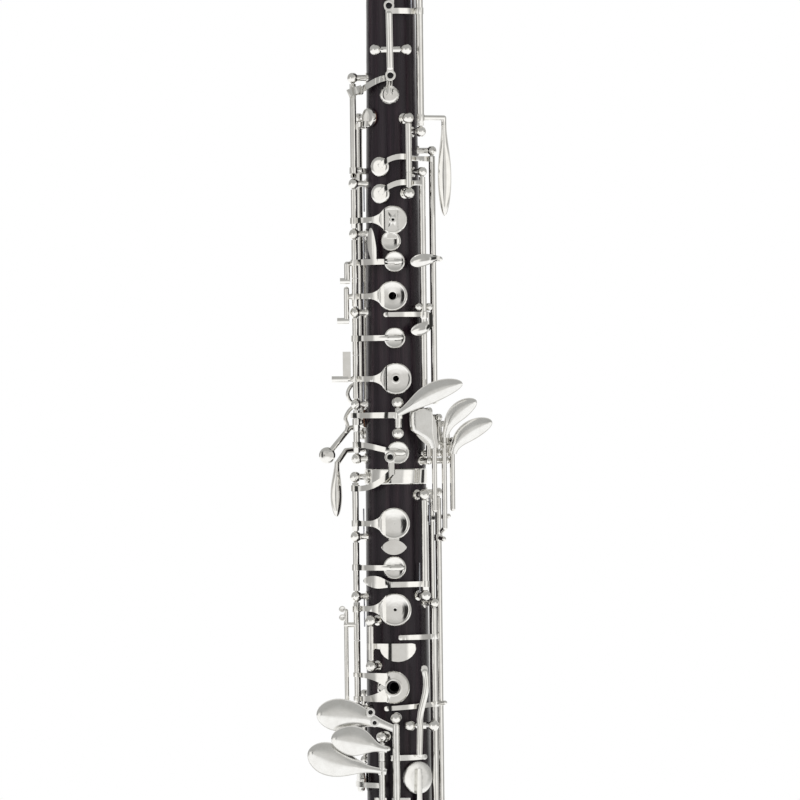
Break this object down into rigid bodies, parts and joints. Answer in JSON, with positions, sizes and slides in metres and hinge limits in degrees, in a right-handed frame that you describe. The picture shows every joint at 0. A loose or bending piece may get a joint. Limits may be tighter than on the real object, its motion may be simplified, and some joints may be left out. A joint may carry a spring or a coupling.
{
  "type": "oboe",
  "caption": "Conservatoire oboe with silver-plated keywork on black hardwood, standing on its bell, with hinged keys, linked vents and a socketed reed well.",
  "frame": {"origin": "centre of the bell's mouth, on the bore's axis", "axes": "+Z along the bore from the bell to the reed well; -Y out of the front, where the finger plates are; +X to the right as seen from the front"},
  "size_m": [0.0807, 0.0608, 0.589],
  "materials": {
    "blackwood": "satin oiled blackwood",
    "silver_plate": "polished silver plate",
    "silver_paddle": "satin silver plate",
    "silver_ring": "polished silver plate",
    "rod_steel": "bright steel",
    "blued_steel": "blued spring steel",
    "cork": "sanded cork",
    "pale_pad": "pad skin",
    "brown_pad": "cork pad"
  },
  "bodies": {
    "oboe_body": {"upper_joint": "blackwood", "lower_joint": "blackwood", "bell": "blackwood", "metal_rings": "silver_ring", "reed_liner": "silver_ring", "tenon_corks": "cork", "upper_posts": "silver_plate", "lower_posts": "silver_plate", "bell_posts": "silver_plate", "hinge_rods": "rod_steel", "needle_springs": "blued_steel", "thumb_rest": "silver_plate"},
    "octave_side": {"octave_side_key": "silver_plate"},
    "octave_link": {"octave_rocker": "silver_plate"},
    "octave_thumb": {"octave_thumb_key": "silver_plate"},
    "side_trill": {"side_trill_key": "silver_plate", "side_trill_pad": "brown_pad"},
    "back_trill": {"back_trill_key": "silver_plate"},
    "upper_trill": {"upper_trill_lever": "silver_plate"},
    "upper_trill_vent": {"upper_trill_cup": "silver_plate"},
    "lower_trill": {"lower_trill_lever": "silver_plate"},
    "lower_trill_vent": {"lower_trill_cup": "silver_plate"},
    "half_hole": {"half_hole_key": "silver_plate", "half_hole_pad": "pale_pad"},
    "second_finger": {"second_finger_key": "silver_plate", "second_finger_pad": "pale_pad"},
    "c_vent": {"c_vent_key": "silver_plate", "c_vent_pad": "brown_pad"},
    "third_finger": {"third_finger_key": "silver_plate", "third_finger_pad": "pale_pad"},
    "b_flat_vent": {"b_flat_vent_key": "silver_plate"},
    "g_sharp": {"g_sharp_lever": "silver_plate"},
    "g_sharp_vent": {"g_sharp_cup": "silver_plate", "g_sharp_pad": "brown_pad"},
    "left_e_flat": {"left_e_flat_lever": "silver_plate"},
    "left_low_b": {"left_low_b_lever": "silver_plate"},
    "left_low_b_flat": {"left_low_b_flat_lever": "silver_plate"},
    "rh_first": {"rh_first_key": "silver_plate", "rh_first_pad": "pale_pad"},
    "bridge_vent": {"bridge_vent_key": "silver_plate"},
    "rh_small_vent": {"rh_small_vent_key": "silver_plate"},
    "a_flat": {"a_flat_key": "silver_plate"},
    "rh_second": {"rh_second_key": "silver_plate", "rh_second_pad": "pale_pad"},
    "f_vent": {"f_key": "silver_plate", "f_pad": "pale_pad"},
    "f_link": {"f_link": "silver_plate"},
    "rh_ring": {"rh_ring_key": "silver_plate"},
    "c_sharp": {"c_sharp_key": "silver_paddle", "c_sharp_pad": "pale_pad"},
    "foot_link": {"foot_rocker": "silver_plate"},
    "e_flat": {"e_flat_key": "silver_paddle"},
    "e_flat_vent": {"e_flat_cup": "silver_plate"},
    "c_touch": {"c_key": "silver_paddle", "c_pad": "brown_pad"},
    "low_b": {"low_b_key": "silver_plate", "low_b_pad": "pale_pad"},
    "low_b_flat": {"low_b_flat_key": "silver_plate"},
    "bell_vent": {"bell_key": "silver_plate", "bell_pad": "pale_pad"}
  },
  "joints": [
    {"name": "octave_side_pivot", "type": "hinge", "parent": "oboe_body", "child": "octave_side", "pos_m": [0.0123, -0.0106, 0.536], "axis": [0, 0, 1], "range_deg": [0, 4.3], "stiffness_Nm_per_rad": 0.02, "springref_deg": -17.19},
    {"name": "octave_link_pivot", "type": "hinge", "parent": "oboe_body", "child": "octave_link", "pos_m": [-0.0005, -0.018, 0.5389], "axis": [1, 0, 0], "range_deg": [0, 3.4], "stiffness_Nm_per_rad": 0.02, "springref_deg": -17.19},
    {"name": "octave_thumb_pivot", "type": "hinge", "parent": "oboe_body", "child": "octave_thumb", "pos_m": [-0.0166, -0.0036, 0.505], "axis": [0, 0, -1], "range_deg": [0, 3.3], "stiffness_Nm_per_rad": 0.02, "springref_deg": -17.19},
    {"name": "side_trill_pivot", "type": "hinge", "parent": "oboe_body", "child": "side_trill", "pos_m": [-0.0143, 0.0094, 0.442], "axis": [0, 0, -1], "range_deg": [0, 3.4], "stiffness_Nm_per_rad": 0.02, "springref_deg": -17.19},
    {"name": "back_trill_pivot", "type": "hinge", "parent": "oboe_body", "child": "back_trill", "pos_m": [-0.012, 0.0124, 0.412], "axis": [0, 0, 1], "range_deg": [0, 7], "stiffness_Nm_per_rad": 0.02, "springref_deg": -17.19},
    {"name": "upper_trill_pivot", "type": "hinge", "parent": "oboe_body", "child": "upper_trill", "pos_m": [0.017, -0.0015, 0.443], "axis": [0, 0, -1], "range_deg": [0, 2.4], "stiffness_Nm_per_rad": 0.02, "springref_deg": -17.19},
    {"name": "upper_trill_vent_pivot", "type": "hinge", "parent": "oboe_body", "child": "upper_trill_vent", "pos_m": [0.007, -0.0143, 0.497], "axis": [0, 0, 1], "range_deg": [0, 9], "stiffness_Nm_per_rad": 0.02, "springref_deg": -17.19},
    {"name": "lower_trill_pivot", "type": "hinge", "parent": "oboe_body", "child": "lower_trill", "pos_m": [0.0127, -0.0112, 0.438], "axis": [0, 0, -1], "range_deg": [0, 4], "stiffness_Nm_per_rad": 0.02, "springref_deg": -17.19},
    {"name": "lower_trill_vent_pivot", "type": "hinge", "parent": "oboe_body", "child": "lower_trill_vent", "pos_m": [0.007, -0.0143, 0.483], "axis": [0, 0, 1], "range_deg": [0, 8.4], "stiffness_Nm_per_rad": 0.02, "springref_deg": -17.19},
    {"name": "half_hole_pivot", "type": "hinge", "parent": "oboe_body", "child": "half_hole", "pos_m": [-0.0166, -0.0036, 0.471], "axis": [0, 0, 1], "range_deg": [0, 4.26], "stiffness_Nm_per_rad": 0.02, "springref_deg": -17.19},
    {"name": "second_finger_pivot", "type": "hinge", "parent": "oboe_body", "child": "second_finger", "pos_m": [-0.0166, -0.0036, 0.436], "axis": [0, 0, 1], "range_deg": [0, 4.15], "stiffness_Nm_per_rad": 0.02, "springref_deg": -17.19},
    {"name": "c_vent_pivot", "type": "hinge", "parent": "oboe_body", "child": "c_vent", "pos_m": [-0.0166, -0.0036, 0.45], "axis": [0, 0, 1], "range_deg": [0, 4.05], "stiffness_Nm_per_rad": 0.02, "springref_deg": -17.19},
    {"name": "third_finger_pivot", "type": "hinge", "parent": "oboe_body", "child": "third_finger", "pos_m": [-0.0166, -0.0036, 0.399], "axis": [0, 0, 1], "range_deg": [0, 3.89], "stiffness_Nm_per_rad": 0.02, "springref_deg": -17.19},
    {"name": "b_flat_vent_pivot", "type": "hinge", "parent": "oboe_body", "child": "b_flat_vent", "pos_m": [-0.0166, -0.0036, 0.417], "axis": [0, 0, 1], "range_deg": [0, 4.07], "stiffness_Nm_per_rad": 0.02, "springref_deg": -17.19},
    {"name": "g_sharp_pivot", "type": "hinge", "parent": "oboe_body", "child": "g_sharp", "pos_m": [0.0013, -0.0186, 0.382], "axis": [0, 0, 1], "range_deg": [0, 3.6], "stiffness_Nm_per_rad": 0.02, "springref_deg": -17.19},
    {"name": "g_sharp_vent_pivot", "type": "hinge", "parent": "oboe_body", "child": "g_sharp_vent", "pos_m": [-0.0166, -0.0036, 0.38], "axis": [0, 0, 1], "range_deg": [0, 9.8], "stiffness_Nm_per_rad": 0.02, "springref_deg": -17.19},
    {"name": "left_e_flat_pivot", "type": "hinge", "parent": "oboe_body", "child": "left_e_flat", "pos_m": [0.0144, -0.0104, 0.374], "axis": [0, 0, -1], "range_deg": [0, 5], "stiffness_Nm_per_rad": 0.02, "springref_deg": -17.19},
    {"name": "left_low_b_pivot", "type": "hinge", "parent": "oboe_body", "child": "left_low_b", "pos_m": [0.0186, -0.008, 0.372], "axis": [0, 0, 1], "range_deg": [0, 6], "stiffness_Nm_per_rad": 0.02, "springref_deg": -17.19},
    {"name": "left_low_b_flat_pivot", "type": "hinge", "parent": "oboe_body", "child": "left_low_b_flat", "pos_m": [0.022, -0.005, 0.371], "axis": [0, 0, 1], "range_deg": [0, 6], "stiffness_Nm_per_rad": 0.02, "springref_deg": -17.19},
    {"name": "rh_first_pivot", "type": "hinge", "parent": "oboe_body", "child": "rh_first", "pos_m": [-0.0174, -0.0046, 0.343], "axis": [0, 0, 1], "range_deg": [0, 3.91], "stiffness_Nm_per_rad": 0.02, "springref_deg": -17.19},
    {"name": "bridge_vent_pivot", "type": "hinge", "parent": "oboe_body", "child": "bridge_vent", "pos_m": [-0.0166, -0.0036, 0.37], "axis": [0, 0, 1], "range_deg": [0, 3.99], "stiffness_Nm_per_rad": 0.02, "springref_deg": -17.19},
    {"name": "rh_small_vent_pivot", "type": "hinge", "parent": "oboe_body", "child": "rh_small_vent", "pos_m": [-0.0174, -0.0046, 0.318], "axis": [0, 0, 1], "range_deg": [0, 4.13], "stiffness_Nm_per_rad": 0.02, "springref_deg": -17.19},
    {"name": "a_flat_pivot", "type": "hinge", "parent": "oboe_body", "child": "a_flat", "pos_m": [0.012, -0.0136, 0.326], "axis": [0, 0, -1], "range_deg": [0, 2.6], "stiffness_Nm_per_rad": 0.02, "springref_deg": -17.19},
    {"name": "rh_second_pivot", "type": "hinge", "parent": "oboe_body", "child": "rh_second", "pos_m": [-0.0174, -0.0046, 0.294], "axis": [0, 0, 1], "range_deg": [0, 3.84], "stiffness_Nm_per_rad": 0.02, "springref_deg": -17.19},
    {"name": "f_vent_pivot", "type": "hinge", "parent": "oboe_body", "child": "f_vent", "pos_m": [-0.0114, -0.0146, 0.285], "axis": [0, 0, -1], "range_deg": [0, 5], "stiffness_Nm_per_rad": 0.02, "springref_deg": -17.19},
    {"name": "f_link_pivot", "type": "hinge", "parent": "oboe_body", "child": "f_link", "pos_m": [0.0156, -0.009, 0.254], "axis": [0, 0, -1], "range_deg": [0, 3], "stiffness_Nm_per_rad": 0.02, "springref_deg": -17.19},
    {"name": "rh_ring_pivot", "type": "hinge", "parent": "oboe_body", "child": "rh_ring", "pos_m": [-0.0174, -0.0046, 0.272], "axis": [0, 0, 1], "range_deg": [0, 4.2], "stiffness_Nm_per_rad": 0.02, "springref_deg": -17.19},
    {"name": "c_sharp_pivot", "type": "hinge", "parent": "oboe_body", "child": "c_sharp", "pos_m": [-0.0011, -0.0188, 0.23], "axis": [0, 0, -1], "range_deg": [0, 6], "stiffness_Nm_per_rad": 0.02, "springref_deg": -17.19},
    {"name": "foot_link_pivot", "type": "hinge", "parent": "oboe_body", "child": "foot_link", "pos_m": [0.0088, -0.0178, 0.2501], "axis": [-1, 0, 0], "range_deg": [0, 4.7], "stiffness_Nm_per_rad": 0.02, "springref_deg": -17.19},
    {"name": "e_flat_pivot", "type": "hinge", "parent": "oboe_body", "child": "e_flat", "pos_m": [-0.0072, -0.0174, 0.239], "axis": [0, 0, -1], "range_deg": [0, 5], "stiffness_Nm_per_rad": 0.02, "springref_deg": -17.19},
    {"name": "e_flat_vent_pivot", "type": "hinge", "parent": "oboe_body", "child": "e_flat_vent", "pos_m": [-0.0146, 0.0109, 0.248], "axis": [0, 0, 1], "range_deg": [0, 8.6], "stiffness_Nm_per_rad": 0.02, "springref_deg": -17.19},
    {"name": "c_touch_pivot", "type": "hinge", "parent": "oboe_body", "child": "c_touch", "pos_m": [-0.0072, -0.0174, 0.226], "axis": [0, 0, -1], "range_deg": [0, 3.99], "stiffness_Nm_per_rad": 0.02, "springref_deg": -17.19},
    {"name": "low_b_pivot", "type": "hinge", "parent": "oboe_body", "child": "low_b", "pos_m": [0.018, -0.0024, 0.254], "axis": [0, 0, -1], "range_deg": [0, 3.48], "stiffness_Nm_per_rad": 0.02, "springref_deg": -17.19},
    {"name": "low_b_flat_pivot", "type": "hinge", "parent": "oboe_body", "child": "low_b_flat", "pos_m": [0.015, 0.0102, 0.241], "axis": [0, 0, 1], "range_deg": [0, 3.2], "stiffness_Nm_per_rad": 0.02, "springref_deg": -17.19},
    {"name": "bell_vent_pivot", "type": "hinge", "parent": "oboe_body", "child": "bell_vent", "pos_m": [0.0204, -0.0056, 0.089], "axis": [0, 0, -1], "range_deg": [0, 3.14], "stiffness_Nm_per_rad": 0.02, "springref_deg": -17.19}
  ],
  "couplings": [
    {"joint": "octave_link_pivot", "follows": "octave_side_pivot", "ratio": 0.78},
    {"joint": "upper_trill_vent_pivot", "follows": "upper_trill_pivot", "ratio": 3.6},
    {"joint": "lower_trill_vent_pivot", "follows": "lower_trill_pivot", "ratio": 2.05},
    {"joint": "c_vent_pivot", "follows": "second_finger_pivot", "ratio": 0.9704},
    {"joint": "b_flat_vent_pivot", "follows": "third_finger_pivot", "ratio": 1.0398},
    {"joint": "g_sharp_vent_pivot", "follows": "g_sharp_pivot", "ratio": 2.6},
    {"joint": "bridge_vent_pivot", "follows": "rh_first_pivot", "ratio": 1.0146},
    {"joint": "rh_small_vent_pivot", "follows": "rh_first_pivot", "ratio": 1.0504},
    {"joint": "foot_link_pivot", "follows": "c_sharp_pivot", "ratio": 0.76},
    {"joint": "e_flat_vent_pivot", "follows": "e_flat_pivot", "ratio": 1.7},
    {"joint": "low_b_pivot", "follows": "left_low_b_pivot", "ratio": 0.577},
    {"joint": "low_b_flat_pivot", "follows": "left_low_b_flat_pivot", "ratio": 0.52},
    {"joint": "bell_vent_pivot", "follows": "left_low_b_flat_pivot", "ratio": 0.5195}
  ]
}
